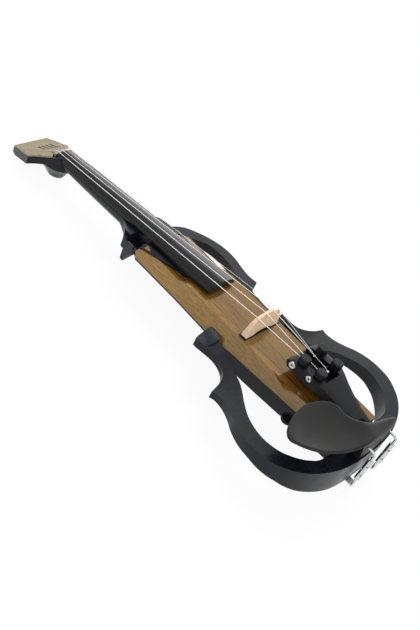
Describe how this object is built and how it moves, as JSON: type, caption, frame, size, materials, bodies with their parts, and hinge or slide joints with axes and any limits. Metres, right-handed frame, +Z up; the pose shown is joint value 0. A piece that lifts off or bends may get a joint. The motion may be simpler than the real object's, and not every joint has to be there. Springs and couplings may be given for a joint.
{
  "type": "electric violin",
  "caption": "Electric violin: a wood-topped core in a bent outline frame, with a headless neck, a side chinrest and worm string tuners at the tail.",
  "frame": {"origin": "middle of the violin's bounding box, on the surface that it lies on with its back down", "axes": "+X to the treble side, +Y along the neck to the headstock, +Z up through the strings"},
  "size_m": [0.2122, 0.5576, 0.0846],
  "materials": {
    "shell": "satin black",
    "wood": "satin varnish over light brown wood",
    "veneer": "satin varnish",
    "ebony": "satin black",
    "maple": "bare light wood",
    "bone": "polished",
    "steel": "plated",
    "gunmetal": "blackened",
    "chrome": "polished",
    "casting": "satin black",
    "chin": "satin black",
    "cork": "bare cork",
    "cell": "satin",
    "circuit": "solder mask"
  },
  "bodies": {
    "violin": {"body_core": "shell", "wood_top": "wood", "frame_lower": "shell", "frame_upper": "shell", "neck": "shell", "headstock_veneer": "veneer", "nut": "bone", "fingerboard": "ebony", "bridge": "maple", "bridge_pickup": "shell", "pickup_lead": "shell", "tailpiece": "casting", "tailpiece_screw": "steel", "string_g": "steel", "string_d": "steel", "string_a": "steel", "string_e": "steel", "chinrest": "chin", "chinrest_cork": "cork", "clamp_arm_bass": "chrome", "clamp_arm_treble": "chrome", "back_cover": "shell", "cover_screw_1": "steel", "cover_screw_2": "steel", "cover_screw_3": "steel", "cover_screw_4": "steel", "battery": "cell", "preamp_board": "circuit", "output_jack": "steel", "headphone_jack": "steel", "neck_screw_1": "steel", "neck_screw_2": "steel"},
    "spool_g": {"tuner_spool_g": "gunmetal", "tuner_screw_g": "steel"},
    "spool_d": {"tuner_spool_d": "gunmetal", "tuner_screw_d": "steel"},
    "spool_a": {"tuner_spool_a": "gunmetal", "tuner_screw_a": "steel"},
    "spool_e": {"tuner_spool_e": "gunmetal", "tuner_screw_e": "steel"},
    "knob_g": {"tuner_knob_g": "casting"},
    "knob_d": {"tuner_knob_d": "casting"},
    "knob_a": {"tuner_knob_a": "casting"},
    "knob_e": {"tuner_knob_e": "casting"},
    "barrel_bass": {"clamp_barrel_bass": "chrome"},
    "barrel_treble": {"clamp_barrel_treble": "chrome"},
    "foot": {"clamp_foot": "chrome", "clamp_foot_cork": "cork"},
    "door": {"battery_door": "shell"},
    "power": {"power_switch": "shell"},
    "volume": {"volume_wheel": "shell"},
    "tone": {"tone_wheel": "shell"}
  },
  "joints": [
    {"name": "knob_g_turn", "type": "hinge", "parent": "violin", "child": "knob_g", "pos_m": [-0.0149, -0.16775, 0.08], "axis": [0, 0, 1], "range_deg": [-1200, 1200]},
    {"name": "knob_d_turn", "type": "hinge", "parent": "violin", "child": "knob_d", "pos_m": [-0.0133, -0.18875, 0.08], "axis": [0, 0, 1], "range_deg": [-1200, 1200]},
    {"name": "knob_a_turn", "type": "hinge", "parent": "violin", "child": "knob_a", "pos_m": [0.0133, -0.18875, 0.08], "axis": [0, 0, 1], "range_deg": [-1200, 1200]},
    {"name": "knob_e_turn", "type": "hinge", "parent": "violin", "child": "knob_e", "pos_m": [0.0149, -0.16775, 0.08], "axis": [0, 0, 1], "range_deg": [-1200, 1200]},
    {"name": "spool_g_wind", "type": "hinge", "parent": "violin", "child": "spool_g", "pos_m": [-0.015, -0.16185, 0.0711], "axis": [1, 0, 0], "range_deg": [-90, 90]},
    {"name": "spool_d_wind", "type": "hinge", "parent": "violin", "child": "spool_d", "pos_m": [-0.013, -0.18285, 0.0715], "axis": [1, 0, 0], "range_deg": [-90, 90]},
    {"name": "spool_a_wind", "type": "hinge", "parent": "violin", "child": "spool_a", "pos_m": [0.013, -0.18285, 0.0715], "axis": [1, 0, 0], "range_deg": [-90, 90]},
    {"name": "spool_e_wind", "type": "hinge", "parent": "violin", "child": "spool_e", "pos_m": [0.015, -0.16185, 0.0711], "axis": [1, 0, 0], "range_deg": [-90, 90]},
    {"name": "volume_turn", "type": "hinge", "parent": "violin", "child": "volume", "pos_m": [-0.0323, -0.19125, 0.0239], "axis": [0, 0, 1], "range_deg": [-140, 140]},
    {"name": "tone_turn", "type": "hinge", "parent": "violin", "child": "tone", "pos_m": [0.0323, -0.19125, 0.0239], "axis": [0, 0, 1], "range_deg": [-140, 140]},
    {"name": "power_slide", "type": "slide", "parent": "violin", "child": "power", "axis": [0, 1, 0], "range_m": [0, 0.003]},
    {"name": "battery_door_swing", "type": "hinge", "parent": "violin", "child": "door", "pos_m": [0, -0.21525, 0.0197], "axis": [1, 0, 0], "range_deg": [-100, 0]},
    {"name": "barrel_bass_turn", "type": "hinge", "parent": "violin", "child": "barrel_bass", "pos_m": [-0.007, -0.27575, 0.026], "axis": [0, 0, 1], "range_deg": [0, 900]},
    {"name": "barrel_treble_turn", "type": "hinge", "parent": "violin", "child": "barrel_treble", "pos_m": [0.032, -0.27575, 0.026], "axis": [0, 0, 1], "range_deg": [0, 900]},
    {"name": "clamp_slide", "type": "slide", "parent": "violin", "child": "foot", "axis": [0, 0, -1], "range_m": [0, 0.002]}
  ],
  "couplings": [
    {"joint": "spool_g_wind", "follows": "knob_g_turn", "ratio": 0.071},
    {"joint": "spool_d_wind", "follows": "knob_d_turn", "ratio": 0.071},
    {"joint": "spool_a_wind", "follows": "knob_a_turn", "ratio": 0.071},
    {"joint": "spool_e_wind", "follows": "knob_e_turn", "ratio": 0.071},
    {"joint": "barrel_bass_turn", "follows": "clamp_slide", "rad_per_m": 7850},
    {"joint": "barrel_treble_turn", "follows": "clamp_slide", "rad_per_m": 7850}
  ]
}
